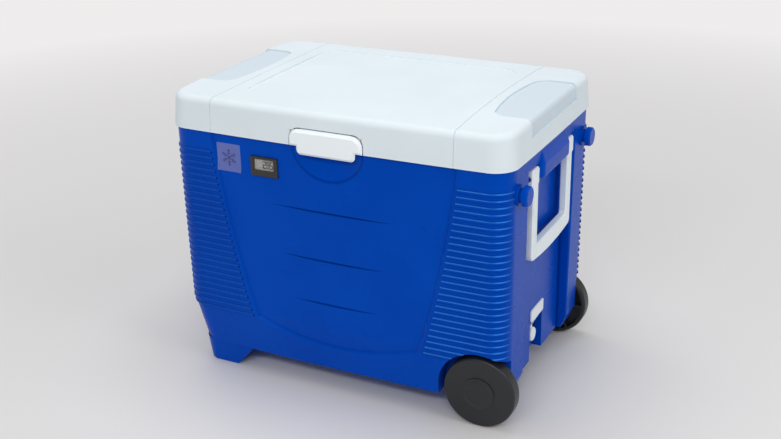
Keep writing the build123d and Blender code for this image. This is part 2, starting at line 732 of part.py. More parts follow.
# ---- latch ----
def latch():
    """The front latch: a wide plate on a barrel, a narrower pull tab, a catch behind it."""
    low = LID_BASE - LATCH_TAB_HANG
    tab = LATCH_TAB_HALF
    pull = make_face(Polyline((-tab, low), (tab, low), (tab, LATCH_Z), (-tab, LATCH_Z), close=True))
    pull = fillet(pull.vertices().group_by(Axis.Y)[0], LATCH_TAB_ROUND)
    face = Plane.XZ * (latch_outline() + pull)
    plate = extrude(Pos(0, -LATCH_BACK, 0) * face, LATCH_THICK)
    plate = chamfer(plate.faces().sort_by(Axis.Y)[0].edges(), LATCH_BEVEL)
    plate += rod_x(LATCH_BARREL_R, -LATCH_BARREL_HALF, LATCH_BARREL_HALF, LATCH_Y, LATCH_Z)
    stop = -PANEL_Y - KEEPER_PROUD - FIT
    plate += block(-CATCH_HALF, CATCH_HALF, -LATCH_BACK, stop, low + CATCH_LIFT, low + CATCH_LIFT + CATCH_HEIGHT)
    return plate - rod_x(LATCH_PIN_R + RUNNING, -LATCH_HALF, LATCH_HALF, LATCH_Y, LATCH_Z)


def latch_pin():
    """The latch's hinge pin, held at both ends in the lid."""
    half = LATCH_HALF - LATCH_PIN_SHORT
    return rod_x(LATCH_PIN_R, -half, half, LATCH_Y, LATCH_Z)


def latch_keeper(grow=0.0):
    """The block in the finger bowl that the latch's catch closes on."""
    high = RIM - KEEPER_DROP
    half = KEEPER_HALF + grow
    back = -PANEL_Y + BOWL_DEPTH + KEEPER_SINK
    return block(-half, half, -PANEL_Y - KEEPER_PROUD, back, high - KEEPER_HEIGHT - grow, high + grow)


# ---- hinges ----
def lower_leaf():
    """The tub's half of a hinge: plate and two knuckles."""
    back = SIDE - TUB_SEAT
    top = TUB_LEAF_Z + HINGE_LEAF_HEIGHT / 2
    inner = KNUCKLE_HALF + HINGE_SIDE_GAP
    leaf = block(-HINGE_HALF, HINGE_HALF, back, back + HINGE_LEAF, top - HINGE_LEAF_HEIGHT, top)
    knuckle = rod_x(KNUCKLE_R, inner, HINGE_HALF, HINGE_Y, HINGE_Z)
    knuckle += block(inner, HINGE_HALF, back, HINGE_Y, HINGE_Z - KNUCKLE_R, RIM)
    leaf += both_ends(knuckle)
    leaf -= rod_x(HINGE_PIN_R + RUNNING, -HINGE_HALF, HINGE_HALF, HINGE_Y, HINGE_Z)
    for x in (-SCREW_SPREAD, SCREW_SPREAD):
        leaf -= rod_y(SCREW_R + RUNNING, back, SIDE, x, TUB_LEAF_Z)
    return Pos(HINGE_X, 0, 0) * leaf


def upper_leaf():
    """The lid's half of a hinge: plate and middle knuckle."""
    back = SIDE - LID_SEAT
    low = LID_LEAF_Z - HINGE_LEAF_HEIGHT / 2
    leaf = block(-HINGE_HALF, HINGE_HALF, back, back + HINGE_LEAF, low, low + HINGE_LEAF_HEIGHT)
    leaf += rod_x(KNUCKLE_R, -KNUCKLE_HALF, KNUCKLE_HALF, HINGE_Y, HINGE_Z)
    leaf += block(-KNUCKLE_HALF, KNUCKLE_HALF, back, HINGE_Y, LID_BASE, HINGE_Z + KNUCKLE_R)
    leaf -= rod_x(HINGE_PIN_R + RUNNING, -HINGE_HALF, HINGE_HALF, HINGE_Y, HINGE_Z)
    for x in (-SCREW_SPREAD, SCREW_SPREAD):
        leaf -= rod_y(SCREW_R + RUNNING, back, SIDE, x, LID_LEAF_Z)
    return Pos(HINGE_X, 0, 0) * leaf


# ---- end handles ----
def handle():
    """The U handle of the wheel end: two legs with wide heads, and a bowed crossbar."""
    half = HANDLE_HALF
    top = PIVOT_Z + HANDLE_HEAD_RISE
    low = PIVOT_Z - HANDLE_DROP
    edges = [
        ThreePointArc((-half, low), (0, low - HANDLE_SAG), (half, low)),
        Polyline((half, low), (half, PIVOT_Z), (-half, PIVOT_Z), (-half, low)),
    ]
    outer = make_face(edges)
    outer = fillet(outer.vertices().group_by(Axis.Y)[0], 2 * HANDLE_ROUND)
    inner = half - HANDLE_LEG
    sill = low + HANDLE_BAR
    gap = make_face(Polyline((-inner, sill), (inner, sill), (inner, top), (-inner, top), close=True))
    gap = fillet(gap.vertices().group_by(Axis.Y)[0], HANDLE_ROUND)
    width = HANDLE_LEG + HANDLE_HEAD_IN + HANDLE_HEAD_OUT
    middle = inner - HANDLE_HEAD_IN + width / 2
    rise = HANDLE_HEAD_RISE + HANDLE_HEAD_LOW
    head = Pos(middle, top - rise / 2) * RectangleRounded(width, rise, HANDLE_ROUND)
    shape = outer - gap + head + mirror(head, Plane.YZ)
    body = extrude(Pos(PIVOT_X - HANDLE_THICK / 2, 0, 0) * (Plane.YZ * shape), HANDLE_THICK)
    rims = body.faces().filter_by(Axis.X).edges()
    body = chamfer(rims, HANDLE_EDGE)
    length = PIVOT_Z - HANDLE_HEAD_LOW - low + HANDLE_SAG
    line = Box(2 * HANDLE_LINE_DEPTH, HANDLE_LINE, length)
    line = Pos(PIVOT_X + HANDLE_THICK / 2, inner + HANDLE_LINE_IN, low - HANDLE_SAG + length / 2) * line
    body = body - both_sides(line)
    return body - rod_y(PIVOT_PIN_R + RUNNING, -SIDE, SIDE, PIVOT_X, PIVOT_Z)


def handle_pins():
    """The two pivot pins of the wheel end's handle."""
    outer = HANDLE_HALF + HANDLE_HEAD_OUT
    return both_sides(rod_y(PIVOT_PIN_R, NOSE_HALF - PIVOT_PIN_BITE, outer, PIVOT_X, PIVOT_Z))


# ---- wheels ----
def wheel():
    """The back wheel: closed, slightly dished face, hollow and spoked on the inside."""
    plate = HUB_FLOOR - WHEEL_FACE_PLATE
    tread = WHEEL_R - WHEEL_TREAD
    bore = AXLE_R + RUNNING
    profile = make_face(
        Polyline(
            (bore, WHEEL_BACK),
            (WHEEL_BOSS_R, WHEEL_BACK),
            (WHEEL_BOSS_R, plate),
            (tread, plate),
            (tread, WHEEL_BACK),
            (WHEEL_R, WHEEL_BACK),
            (WHEEL_R, WHEEL_FACE - FIT),
            (HUB_CAP_R + FIT, WHEEL_FACE),
            (HUB_POCKET_R, WHEEL_FACE),
            (HUB_POCKET_R, HUB_FLOOR),
            (bore, HUB_FLOOR),
            close=True,
        )
    )
    profile = fillet(profile.vertices().group_by(Axis.X)[-1], WHEEL_EDGE)
    body = revolve(profile, axis=Axis.Y)
    middle = (WHEEL_BOSS_R + tread) / 2
    spoke = Pos(middle, (WHEEL_BACK + plate) / 2 + FIT, 0) * Box(
        tread - WHEEL_BOSS_R + FIT, plate - WHEEL_BACK, WHEEL_SPOKE
    )
    for i in range(WHEEL_SPOKES):
        body += Rot(0, i * 360 / WHEEL_SPOKES, 0) * spoke
    return Pos(AXLE_X, 0, WHEEL_R) * body


def hub_cap():
    """The back wheel's snap-in cap, raised in the middle."""
    rim = WHEEL_FACE + HUB_CAP_FLANGE
    skirt = HUB_POCKET_R - RUNNING
    profile = make_face(
        Polyline(
            (0, rim + HUB_CAP_DOME),
            (HUB_CAP_FACE_R, rim + HUB_CAP_DOME),
            (HUB_CAP_R, rim),
            (HUB_CAP_R, WHEEL_FACE),
            (skirt, WHEEL_FACE),
            (skirt, WHEEL_FACE - HUB_CAP_SKIRT),
            (skirt - HUB_CAP_WALL, WHEEL_FACE - HUB_CAP_SKIRT),
            (skirt - HUB_CAP_WALL, WHEEL_FACE),
            (0, WHEEL_FACE),
            close=True,
        )
    )
    return Pos(AXLE_X, 0, WHEEL_R) * revolve(profile, axis=Axis.Y)


AXLE_HALF = HUB_FLOOR + FIT + CLIP_THICK + AXLE_STUB


def ring_y(outer, inner, y0, y1):
    """A washer on the axle."""
    return rod_y(outer, y0, y1, AXLE_X, WHEEL_R) - rod_y(inner, y0, y1, AXLE_X, WHEEL_R)


def axle_clips():
    """The push-on clips that keep the wheels on the axle."""
    return both_sides(ring_y(CLIP_R, AXLE_R + RUNNING, HUB_FLOOR + FIT, HUB_FLOOR + FIT + CLIP_THICK))


def axle_spacers():
    """The washers between the tub and the wheels."""
    return both_sides(ring_y(CLIP_R, AXLE_R + RUNNING, WELL_WALL, WHEEL_BACK - FIT))


# ---- studs ----
def stud():
    """The back stud of the wheel end: base, neck, round head, and a shank in the wall."""
    neck = STUD_X + STUD_BASE
    head = neck + STUD_NECK
    cap = chamfer(rod_x(STUD_HEAD_R, head, STUD_END, STUD_HALF, STUD_Z).edges().group_by(Axis.X)[-1], STUD_EDGE)
    body = cap + rod_x(STUD_NECK_R, neck, head, STUD_HALF, STUD_Z)
    body += rod_x(STUD_BASE_R, STUD_X, neck, STUD_HALF, STUD_Z)
    return body + rod_x(STUD_SHANK_R, STUD_X - STUD_SHANK, STUD_X, STUD_HALF, STUD_Z)


def stud_holes():
    """The seats and holes of both studs."""
    hole = rod_x(STUD_BASE_R + FIT, STUD_X, END, STUD_HALF, STUD_Z)
    hole += rod_x(STUD_SHANK_R + RUNNING, STUD_X - STUD_SHANK - RUNNING, STUD_X, STUD_HALF, STUD_Z)
    return both_sides(hole)


# ---- drain ----
NECK_X = NICHE_X + DRAIN_FLANGE + DRAIN_NECK
TETHER_X = NECK_X + FIT
CAP_X = TETHER_X + TETHER_THICK + FIT
NUT_X = STEP_X - DRAIN_SEAL - DRAIN_NUT


def drain_spout():
    """The drain pipe from the cold space to the niche, with a flange and a short neck."""
    body = rod_x(DRAIN_PIPE_R, NUT_X - DRAIN_SEAL, NICHE_X, 0, DRAIN_Z)
    body += rod_x(DRAIN_FLANGE_R, NICHE_X, NICHE_X + DRAIN_FLANGE, 0, DRAIN_Z)
    body += rod_x(DRAIN_NECK_R, NICHE_X + DRAIN_FLANGE, NECK_X, 0, DRAIN_Z)
    return body - rod_x(DRAIN_BORE_R, 0, END, 0, DRAIN_Z)


def drain_ring(x0, x1, sides):
    """The drain's nut or seal, on the pipe inside the cold space."""
    outline = RegularPolygon(DRAIN_NUT_R, sides) if sides else Circle(DRAIN_NUT_R)
    body = extrude(Pos(x0, 0, DRAIN_Z) * (Plane.YZ * outline), x1 - x0)
    return body - rod_x(DRAIN_PIPE_R + RUNNING, x0, x1, 0, DRAIN_Z)


def drain_cap():
    """The drain's plug, with a round cap to pull it by."""
    cap = rod_x(CAP_R, CAP_X, CAP_X + CAP_THICK, 0, DRAIN_Z)
    cap = chamfer(cap.edges().group_by(Axis.X)[-1], CAP_EDGE)
    return cap + rod_x(DRAIN_BORE_R - RUNNING, CAP_X - CAP_PLUG, CAP_X, 0, DRAIN_Z)


def drain_tether():
    """The plug's tether: a ring round its stem, a strap, and the plate it hangs from."""
    low = NICHE_TOP + FIT
    x1 = FLOOR_X + ANCHOR_THICK
    plate = block(FLOOR_X, x1, -ANCHOR_HALF, ANCHOR_HALF, low, low + ANCHOR_HEIGHT)
    plate = fillet(plate.edges().filter_by(Axis.X), ANCHOR_ROUND)
    for y in (-ANCHOR_SPREAD, ANCHOR_SPREAD):
        plate += rod_x(ANCHOR_PEG_R, FLOOR_X - ANCHOR_PEG, FLOOR_X, y, low + ANCHOR_HEIGHT / 2)
    end = TETHER_X + TETHER_THICK
    bend = DRAIN_Z + CAP_R + TETHER_HALF
    strap = make_face(
        Polyline(
            (TETHER_X, DRAIN_Z),
            (end, DRAIN_Z),
            (end, bend),
            (x1, low),
            (x1, low + TETHER_HALF),
            (FLOOR_X, low + TETHER_HALF),
            (FLOOR_X, NICHE_TOP),
            (TETHER_X, bend + TETHER_THICK),
            close=True,
        )
    )
    body = extrude(Plane.XZ * strap, TETHER_HALF, both=True)
    body += rod_x(TETHER_RING_R, TETHER_X, end, 0, DRAIN_Z)
    return body - rod_x(DRAIN_BORE_R + FIT, TETHER_X, end, 0, DRAIN_Z) + plate


def anchor_holes():
    """The holes for the pegs of the tether's plate."""
    z = NICHE_TOP + FIT + ANCHOR_HEIGHT / 2
    hole = rod_x(ANCHOR_PEG_R + RUNNING, FLOOR_X - ANCHOR_PEG - RUNNING, FLOOR_X, ANCHOR_SPREAD, z)
    return both_sides(hole)


# ---- thermometer ----
def meter_block(half, height, z, y0, y1):
    """A box at the thermometer, between two depths."""
    return block(METER_X - half, METER_X + half, y0, y1, z - height / 2, z + height / 2)


def bezel_seat(grow=0.0):
    """The room of the bezel in front of its seat."""
    return meter_block(METER_HALF + grow, METER_HEIGHT + 2 * grow, METER_Z, METER_Y - METER_BEZEL, METER_Y)


def thermometer_bezel():
    """The frame round the display."""
    frame = fillet(bezel_seat().edges().filter_by(Axis.Y), METER_ROUND)
    frame = chamfer(frame.faces().sort_by(Axis.Y)[0].edges(), METER_ROUND / 3)
    return frame - meter_block(WINDOW_HALF, WINDOW_HEIGHT, WINDOW_Z, METER_Y - METER_BEZEL, METER_Y)


def thermometer_window():
    """The clear window, resting on the display."""
    return meter_block(WINDOW_HALF - RUNNING, WINDOW_HEIGHT - 2 * RUNNING, WINDOW_Z, METER_Y - WINDOW_THICK, METER_Y)


def thermometer_display():
    """The display module behind the window."""
    return meter_block(WINDOW_HALF + LCD_MARGIN, WINDOW_HEIGHT + LCD_MARGIN, WINDOW_Z, METER_Y, METER_Y + LCD_THICK)


def thermometer_case():
    """The open box behind the bezel."""
    back = METER_Y + CASE_DEPTH
    box = meter_block(CASE_HALF, CASE_HEIGHT, METER_Z, METER_Y, back)
    return box - meter_block(CASE_HALF - CASE_WALL, CASE_HEIGHT - 2 * CASE_WALL, METER_Z, METER_Y, back - CASE_WALL)


def thermometer_battery():
    """The coin cell on the back wall of the case."""
    back = METER_Y + CASE_DEPTH - CASE_WALL
    return rod_y(CELL_R, back - CELL_THICK, back, METER_X, METER_Z)


def temperature_probe():
    """The probe in the liner's front wall, its head in the cold space."""
    face = -SIDE + CAVITY_INSET
    body = rod_y(PROBE_HEAD_R, face, face + PROBE_HEAD, METER_X, PROBE_Z)
    return body + rod_y(PROBE_R, face - LINER - PROBE_BITE, face, METER_X, PROBE_Z)


# ---- write the pieces ----
tub = outer_tub() - stud_holes() - anchor_holes() - latch_keeper(RUNNING) - bezel_seat(RUNNING)
tub -= rod_x(DRAIN_PIPE_R + FIT, STEP_X, END, 0, DRAIN_Z)
tub -= rod_y(AXLE_R + RUNNING, -SIDE, SIDE, AXLE_X, WHEEL_R)
save(tub, "outer_tub")
save(insulation_core(), "insulation_core")
save(inner_liner(), "inner_liner")
save(latch_keeper(), "latch_keeper")
save(lid_shell(), "lid_shell")
save(lid_insulation(), "lid_insulation")
save(lid_liner(), "lid_liner")
save(lid_gasket(), "lid_gasket")
save(latch(), "latch")
save(latch_pin(), "latch_pin")
save(lower_leaf(), "hinge_lower_leaf_right")
save(mirror(lower_leaf(), Plane.YZ), "hinge_lower_leaf_left")
save(upper_leaf(), "hinge_upper_leaf_right")
save(mirror(upper_leaf(), Plane.YZ), "hinge_upper_leaf_left")
save(rod_x(HINGE_PIN_R, HINGE_X - HINGE_HALF, HINGE_X + HINGE_HALF, HINGE_Y, HINGE_Z), "hinge_pin_right")
save(rod_x(HINGE_PIN_R, -HINGE_X - HINGE_HALF, -HINGE_X + HINGE_HALF, HINGE_Y, HINGE_Z), "hinge_pin_left")
save(screws(TUB_SEAT, TUB_LEAF_Z), "hinge_screws_tub")
save(screws(LID_SEAT, LID_LEAF_Z), "hinge_screws_lid")
save(handle(), "handle_right")
save(mirror(handle(), Plane.YZ), "handle_left")
save(handle_pins(), "handle_pins_right")
save(mirror(handle_pins(), Plane.YZ), "handle_pins_left")
save(stud(), "strap_stud_rear")
save(mirror(stud(), Plane.XZ), "strap_stud_front")
save(rod_y(AXLE_R, -AXLE_HALF, AXLE_HALF, AXLE_X, WHEEL_R), "axle")
save(axle_clips(), "axle_clips")
save(axle_spacers(), "axle_spacers")
save(wheel(), "wheel_rear")
save(mirror(wheel(), Plane.XZ), "wheel_front")
save(hub_cap(), "hub_cap_rear")
save(mirror(hub_cap(), Plane.XZ), "hub_cap_front")
save(drain_spout(), "drain_spout")
save(drain_ring(NUT_X, NUT_X + DRAIN_NUT, 6), "drain_nut")
save(drain_ring(STEP_X - DRAIN_SEAL, STEP_X, 0), "drain_seal")
save(drain_cap(), "drain_cap")
save(drain_tether(), "drain_tether")
save(thermometer_case(), "thermometer_case")
save(thermometer_bezel(), "thermometer_bezel")
save(thermometer_window(), "thermometer_window")
save(thermometer_display(), "thermometer_display")
save(thermometer_battery(), "thermometer_battery")
save(temperature_probe(), "temperature_probe")
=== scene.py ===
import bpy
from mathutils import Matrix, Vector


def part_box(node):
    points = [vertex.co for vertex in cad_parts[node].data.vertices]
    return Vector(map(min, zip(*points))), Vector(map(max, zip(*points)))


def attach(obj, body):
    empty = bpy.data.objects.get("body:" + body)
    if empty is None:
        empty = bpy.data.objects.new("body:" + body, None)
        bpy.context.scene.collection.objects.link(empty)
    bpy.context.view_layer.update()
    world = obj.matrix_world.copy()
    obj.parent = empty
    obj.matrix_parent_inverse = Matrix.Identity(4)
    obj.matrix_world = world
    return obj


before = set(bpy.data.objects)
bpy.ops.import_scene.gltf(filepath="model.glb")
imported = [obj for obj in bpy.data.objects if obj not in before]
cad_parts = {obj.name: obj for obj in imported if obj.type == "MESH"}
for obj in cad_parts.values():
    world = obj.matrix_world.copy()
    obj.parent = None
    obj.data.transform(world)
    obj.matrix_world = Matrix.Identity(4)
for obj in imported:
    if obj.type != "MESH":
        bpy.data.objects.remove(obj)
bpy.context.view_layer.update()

from math import pi, radians

import bmesh
import bpy
from mathutils import Matrix, Vector
from mathutils.bvhtree import BVHTree

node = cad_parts

# ---- Outer tub -------------------------------------------------------------
# One blue rotational moulding in polyethylene with feet, noses and ribs in one.
# The skin has a fine spark-eroded grain. Sharp edges are scuffed paler. The ribs' upper slopes
# carry a painted highlight, and the creases and the bowl's rim a painted shade of deeper blue.

CLOUD_SCALE = 9.0
GRAIN_HEIGHT = 0.0004
RUBBED_REACH = 0.0012
LEDGE_FACING = (0.85, 0.95)
LEDGE_HIGHLIGHT_TONES = ((0.0, 0.75), (0.1, 0.42), (0.16, 0.45), (0.25, 1.0), (0.34, 0.9), (0.44, 0.3))
WHEEL_END_X = (0.05, 0.14)
WHEEL_END_HIGHLIGHT = (0.32, 0.98)
CREASE_SHADE_REACH = 0.0065
BOWL_SHIFT = 0.002
BOWL_RADII = (0.062, 0.055)
BOWL_SHADE_WIDTH = 0.06
FRONT_WALL_Y = -0.15
BLUE_INDEX = 1.14
BLUE_SHEEN = (0.1, 0.5, 1.0, 1)


def new_material(name):
    """A material with its nodes and links."""
    material = bpy.data.materials.new(name)
    material.use_nodes = True
    return material, material.node_tree.nodes, material.node_tree.links


def mix_colour(nodes, links, low, high, factor):
    """A colour between two, by a value between 0 and 1."""
    mix = nodes.new("ShaderNodeMix")
    mix.data_type = "RGBA"
    mix.inputs["A"].default_value = (*low, 1)
    mix.inputs["B"].default_value = (*high, 1)
    links.new(factor, mix.inputs["Factor"])
    return mix.outputs["Result"]


def lay_over(material, colour, amount):
    """Lays a colour over a material's base colour, by a value between 0 and 1."""
    nodes = material.node_tree.nodes
    links = material.node_tree.links
    base = nodes["Principled BSDF"].inputs["Base Color"]
    mix = nodes.new("ShaderNodeMix")
    mix.data_type = "RGBA"
    mix.inputs["B"].default_value = (*colour, 1)
    links.new(base.links[0].from_socket, mix.inputs["A"])
    links.new(amount, mix.inputs["Factor"])
    links.new(mix.outputs["Result"], base)


def ramp(nodes, links, value, low, high, bottom=0.0, top=1.0):
    """Stretches a value so that low becomes bottom and high becomes top."""
    stretch = nodes.new("ShaderNodeMapRange")
    stretch.inputs["From Min"].default_value = low
    stretch.inputs["From Max"].default_value = high
    stretch.inputs["To Min"].default_value = bottom
    stretch.inputs["To Max"].default_value = top
    links.new(value, stretch.inputs["Value"])
    return stretch.outputs["Result"]


def compute(nodes, links, operation, first, second=0.0):
    """One step of arithmetic on values or sockets."""
    step = nodes.new("ShaderNodeMath")
    step.operation = operation
    for socket, value in zip(step.inputs, (first, second)):
        if isinstance(value, float):
            socket.default_value = value
        else:
            links.new(value, socket)
    return step.outputs[0]


def split(nodes, links, vector):
    """The X, Y and Z of a vector."""
    parts = nodes.new("ShaderNodeSeparateXYZ")
    links.new(vector, parts.inputs[0])
    return parts.outputs


def noise(nodes, links, place, scale, detail):
    """A noise texture's value at a place."""
    texture = nodes.new("ShaderNodeTexNoise")
    texture.inputs["Scale"].default_value = scale
    texture.inputs["Detail"].default_value = detail
    links.new(place, texture.inputs["Vector"])
    return texture.outputs["Fac"]


def moulded_plastic(name, colour, cloud, grain, bump, rough, specular=0.5):
    """Moulded plastic: a faint cloud in the colour, a fine grain, and uneven gloss."""
    material, nodes, links = new_material(name)
    shader = nodes["Principled BSDF"]
    shader.inputs["Specular IOR Level"].default_value = specular
    place = nodes.new("ShaderNodeTexCoord").outputs["Object"]
    drift = noise(nodes, links, place, CLOUD_SCALE, 4.0)
    tone = mix_colour(nodes, links, colour, cloud, ramp(nodes, links, drift, 0.35, 0.7))
    links.new(tone, shader.inputs["Base Color"])
    links.new(ramp(nodes, links, drift, 0.0, 1.0, *rough), shader.inputs["Roughness"])
    relief = nodes.new("ShaderNodeBump")
    relief.inputs["Strength"].default_value = bump
    relief.inputs["Distance"].default_value = GRAIN_HEIGHT
    links.new(noise(nodes, links, place, grain, 2.0), relief.inputs["Height"])
    links.new(relief.outputs["Normal"], shader.inputs["Normal"])
    return material


def rub_edges(material, colour, strength):
    """Adds a paler, rubbed tone along sharp edges of a moulded plastic."""
    nodes = material.node_tree.nodes
    links = material.node_tree.links
    soft = nodes.new("ShaderNodeBevel")
    soft.inputs["Radius"].default_value = RUBBED_REACH
    flat = nodes.new("ShaderNodeNewGeometry")
    dot = nodes.new("ShaderNodeVectorMath")
    dot.operation = "DOT_PRODUCT"
    links.new(soft.outputs["Normal"], dot.inputs[0])
    links.new(flat.outputs["Normal"], dot.inputs[1])
    edge = ramp(nodes, links, dot.outputs["Value"], 0.97, 0.75, 0.0, strength)
    lay_over(material, colour, edge)


def paint_rib_highlights(material, colour):
    """Paints a highlight, a paler tone, on the narrow slopes that face up between two angles.

    This painted highlight is strongest at the wheel end, and there at the middle of each corner.
    """
    nodes = material.node_tree.nodes
    links = material.node_tree.links
    facing = split(nodes, links, nodes["Texture Coordinate"].outputs["Normal"])
    steep = compute(nodes, links, "GREATER_THAN", facing["Z"], LEDGE_FACING[0])
    level = compute(nodes, links, "LESS_THAN", facing["Z"], LEDGE_FACING[1])
    ledge = compute(nodes, links, "MULTIPLY", steep, level)
    place = split(nodes, links, nodes["Texture Coordinate"].outputs["Object"])
    amount = ramp(nodes, links, place["X"], *WHEEL_END_X, *WHEEL_END_HIGHLIGHT)
    corner = nodes.new("ShaderNodeValToRGB")
    stops = corner.color_ramp.elements
    stops[1].position = LEDGE_HIGHLIGHT_TONES[-1][0]
    for position, _ in LEDGE_HIGHLIGHT_TONES[1:-1]:
        stops.new(position)
    for stop, (_, tone) in zip(stops, LEDGE_HIGHLIGHT_TONES):
        stop.color = (tone, tone, tone, 1)
    links.new(compute(nodes, links, "ABSOLUTE", facing["X"]), corner.inputs["Fac"])
    amount = compute(nodes, links, "MULTIPLY", amount, corner.outputs["Color"])
    lay_over(material, colour, compute(nodes, links, "MULTIPLY", amount, ledge))


def paint_crease_shade(material, colour, strength):
    """Paints shade into the inner corners of a moulding, as a deeper tone where the surface is
    hemmed in.
    """
    nodes = material.node_tree.nodes
    links = material.node_tree.links
    hollow = nodes.new("ShaderNodeAmbientOcclusion")
    hollow.samples = 8
    hollow.only_local = True
    hollow.inputs["Distance"].default_value = CREASE_SHADE_REACH
    lay_over(material, colour, ramp(nodes, links, hollow.outputs["AO"], 0.95, 0.5, 0.0, strength))


def paint_bowl_shade(material, colour, centre, strength):
    """Paints a thin, deeper ring of shade along the crease round the finger bowl in the front
    wall.
    """
    nodes = material.node_tree.nodes
    links = material.node_tree.links
    place = split(nodes, links, nodes["Texture Coordinate"].outputs["Object"])
    squares = []
    for axis, middle, radius in zip("XZ", centre, BOWL_RADII):
        away = compute(nodes, links, "SUBTRACT", place[axis], middle)
        away = compute(nodes, links, "DIVIDE", away, radius)
        squares.append(compute(nodes, links, "MULTIPLY", away, away))
    away = compute(nodes, links, "SQRT", compute(nodes, links, "ADD", *squares))
    away = compute(nodes, links, "ABSOLUTE", compute(nodes, links, "SUBTRACT", away, 1.0))
    line = ramp(nodes, links, away, BOWL_SHADE_WIDTH, 0.0)
    in_front = compute(nodes, links, "LESS_THAN", place["Y"], FRONT_WALL_Y)
    line = compute(nodes, links, "MULTIPLY", line, in_front)
    lay_over(material, colour, compute(nodes, links, "MULTIPLY", line, strength))


def wear(names, material):
    """Gives a material to named pieces of the frame."""
    for name in names:
        for slot in node[name].material_slots:
            slot.material = material


blue_tones = ((0.0002, 0.057, 0.44), (0.0003, 0.065, 0.475))
tub_blue = moulded_plastic("TubBlue", *blue_tones, 900.0, 0.12, (0.24, 0.31), 1.0)
stud_blue = moulded_plastic("StudBlue", *blue_tones, 900.0, 0.12, (0.2, 0.28), 1.0)
for blue in (tub_blue, stud_blue):
    blue_shader = blue.node_tree.nodes["Principled BSDF"]
    blue_shader.inputs["IOR"].default_value = BLUE_INDEX
    blue_shader.inputs["Specular Tint"].default_value = BLUE_SHEEN
    rub_edges(blue, (0.01, 0.13, 0.6), 0.35)
# Painted highlight: the ribs' upper slopes are laid over with a paler blue.
paint_rib_highlights(tub_blue, (0.06, 0.34, 0.98))
# Painted shade: the creases get a deeper blue where the surface is hemmed in.
paint_crease_shade(tub_blue, (0.0001, 0.014, 0.16), 0.75)
latch_low, latch_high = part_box("latch")
tub_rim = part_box("outer_tub")[1][2]
bowl_centre = ((latch_low[0] + latch_high[0]) / 2 - BOWL_SHIFT, tub_rim)
# Painted shade: a thin deeper ring along the crease round the finger bowl.
paint_bowl_shade(tub_blue, (0.0001, 0.025, 0.24), bowl_centre, 0.7)
wear(["outer_tub"], tub_blue)
wear(["strap_stud_front", "strap_stud_rear"], stud_blue)

# ---- Lid -------------------------------------------------------------------
# White moulded shell. The two end scoops are laid over with a greyer tone.
# It is held by two hinges at the back and closed by the latch.

CROWN_FALL = 0.0862
SCOOP_SINK = 0.0014
SCOOP_START = 0.218
SCOOP_HALF = 0.1053
SCOOP_LIFT = 0.0282

lid_tones = ((0.745, 0.82, 0.85), (0.775, 0.85, 0.88))
lid_white = moulded_plastic("LidWhite", *lid_tones, 900.0, 0.08, (0.48, 0.58), 0.12)
rub_edges(lid_white, (0.86, 0.88, 0.88), 0.4)
lid_nodes = lid_white.node_tree.nodes
lid_links = lid_white.node_tree.links
lid_low, lid_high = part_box("lid_shell")
lid_middle = [(low + high) / 2 for low, high in zip(lid_low, lid_high)]
spot = split(lid_nodes, lid_links, lid_nodes["Texture Coordinate"].outputs["Object"])
along = compute(lid_nodes, lid_links, "SUBTRACT", spot["X"], lid_middle[0])
across = compute(lid_nodes, lid_links, "SUBTRACT", spot["Y"], lid_middle[1])
fall = compute(lid_nodes, lid_links, "POWER", across, 2.0)
fall = compute(lid_nodes, lid_links, "MULTIPLY", fall, CROWN_FALL)
below_crown = compute(lid_nodes, lid_links, "ADD", spot["Z"], fall)
in_scoop = compute(lid_nodes, lid_links, "LESS_THAN", below_crown, lid_high[2] - SCOOP_SINK)
for value, operation, limit in (
    (compute(lid_nodes, lid_links, "ABSOLUTE", along), "GREATER_THAN", SCOOP_START),
    (compute(lid_nodes, lid_links, "ABSOLUTE", across), "LESS_THAN", SCOOP_HALF),
    (spot["Z"], "GREATER_THAN", lid_low[2] + SCOOP_LIFT),
):
    inside = compute(lid_nodes, lid_links, operation, value, limit)
    in_scoop = compute(lid_nodes, lid_links, "MULTIPLY", in_scoop, inside)
lay_over(lid_white, (0.65, 0.735, 0.79), in_scoop)
wear(["lid_shell"], lid_white)

# ---- Latch and the other white fittings --------------------------------------
# Injection-moulded nylon: smoother and a little whiter than the lid.
# The latch is the whitest piece, and the handles and the drain plug come next.

fitting_tones = ((0.84, 0.905, 0.925), (0.86, 0.925, 0.94))
latch_tones = ((0.90, 0.955, 0.965), (0.92, 0.97, 0.975))
fitting_white = moulded_plastic("FittingWhite", *fitting_tones, 1500.0, 0.04, (0.4, 0.5), 0.3)
latch_white = moulded_plastic("LatchWhite", *latch_tones, 1500.0, 0.04, (0.46, 0.54), 0.15)
wear(["latch"], latch_white)
wear(["latch_keeper", "handle_right", "handle_left"], fitting_white)
wear(["drain_tether", "drain_cap", "axle_spacers"], fitting_white)
wear(["hinge_lower_leaf_right", "hinge_lower_leaf_left"], fitting_white)
wear(["hinge_upper_leaf_right", "hinge_upper_leaf_left"], fitting_white)

# ---- Liner and foam ------------------------------------------------------------
# The cold space's smooth white tray, and the yellowish rigid foam around it.
# Black rubber seals the lid and the drain.

liner_tones = ((0.78, 0.81, 0.82), (0.82, 0.84, 0.85))
liner_white = moulded_plastic("LinerWhite", *liner_tones, 700.0, 0.03, (0.22, 0.3))
wear(["inner_liner", "lid_liner"], liner_white)
foam_tones = ((0.72, 0.62, 0.38), (0.78, 0.69, 0.46))
foam_cream = moulded_plastic("FoamCream", *foam_tones, 260.0, 0.6, (0.8, 0.95))
wear(["insulation_core", "lid_insulation"], foam_cream)
gasket_tones = ((0.012, 0.012, 0.013), (0.02, 0.02, 0.021))
gasket_black = moulded_plastic("GasketBlack", *gasket_tones, 600.0, 0.1, (0.55, 0.7))
wear(["lid_gasket", "drain_seal"], gasket_black)

